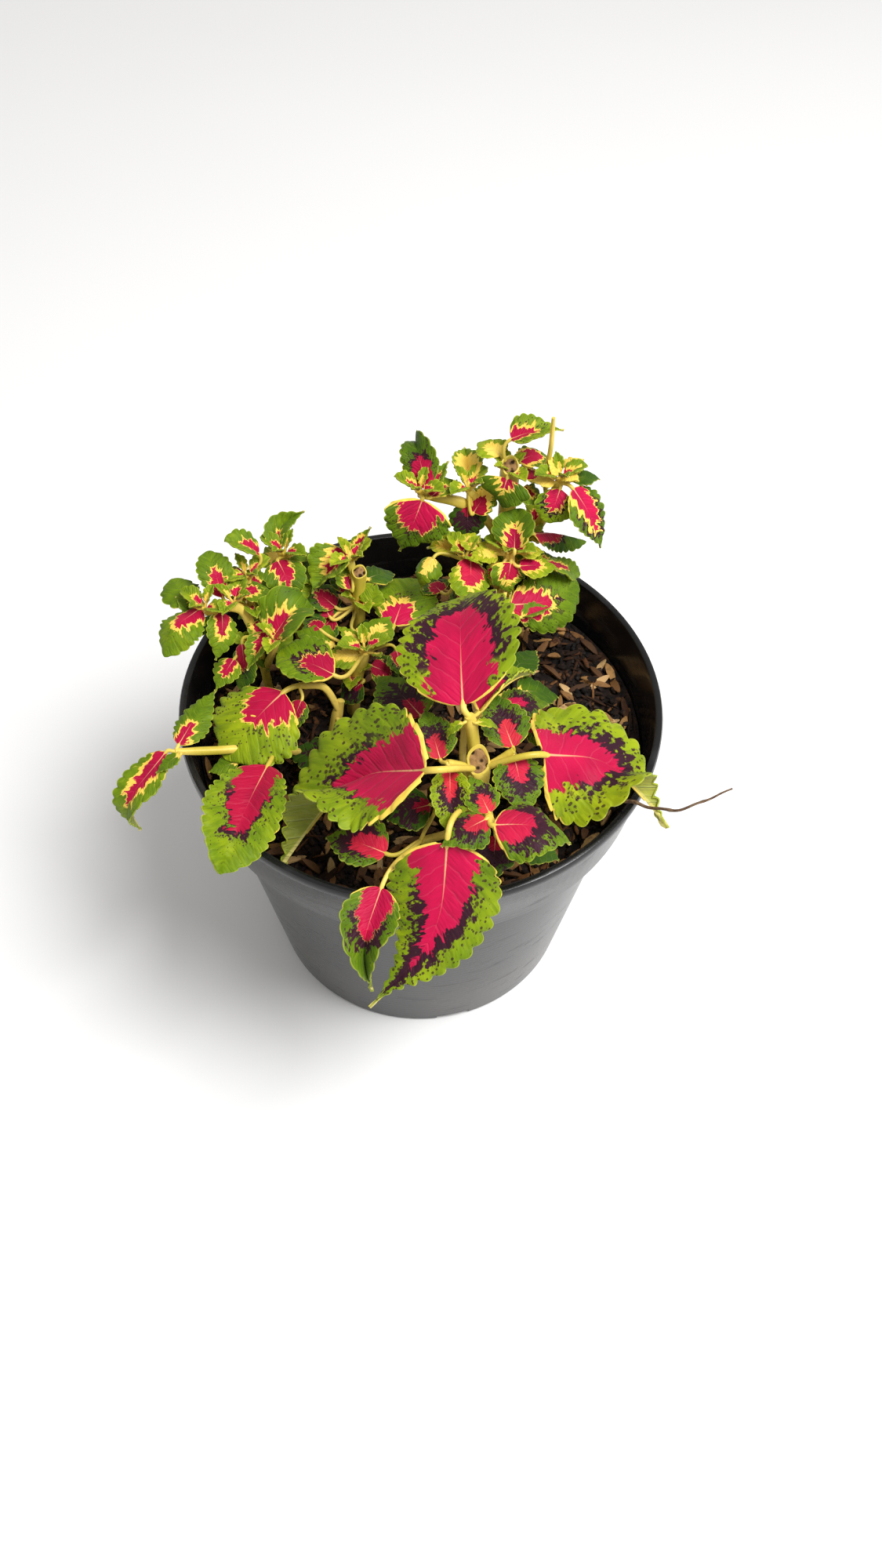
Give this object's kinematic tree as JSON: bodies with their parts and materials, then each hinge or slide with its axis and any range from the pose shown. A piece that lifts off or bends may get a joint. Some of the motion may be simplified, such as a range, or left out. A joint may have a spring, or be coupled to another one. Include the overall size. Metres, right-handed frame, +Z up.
{
  "type": "potted coleus",
  "caption": "Coleus plant with scalloped green leaves marked pink, purple and yellow, growing from compost in a round tapered nursery pot",
  "frame": {"origin": "middle of the pot's flat underside", "axes": "+Z up out of the pot, -Y towards the front, where the longest leaf hangs over the rim, +X to the right seen from the front"},
  "size_m": [0.2028, 0.1992, 0.21],
  "materials": {
    "pot_plastic": "satin",
    "compost": "matte",
    "leaf": "satin",
    "twig": "matte"
  },
  "bodies": {
    "root": {"pot": "pot_plastic", "compost": "compost", "plant_front": "leaf", "plant_left_low": "leaf", "plant_left_rear": "leaf", "plant_back_left": "leaf", "plant_middle": "leaf", "plant_yellow": "leaf", "plant_rear_right": "leaf", "plant_rear_centre": "leaf", "twig": "twig"}
  },
  "joints": []
}
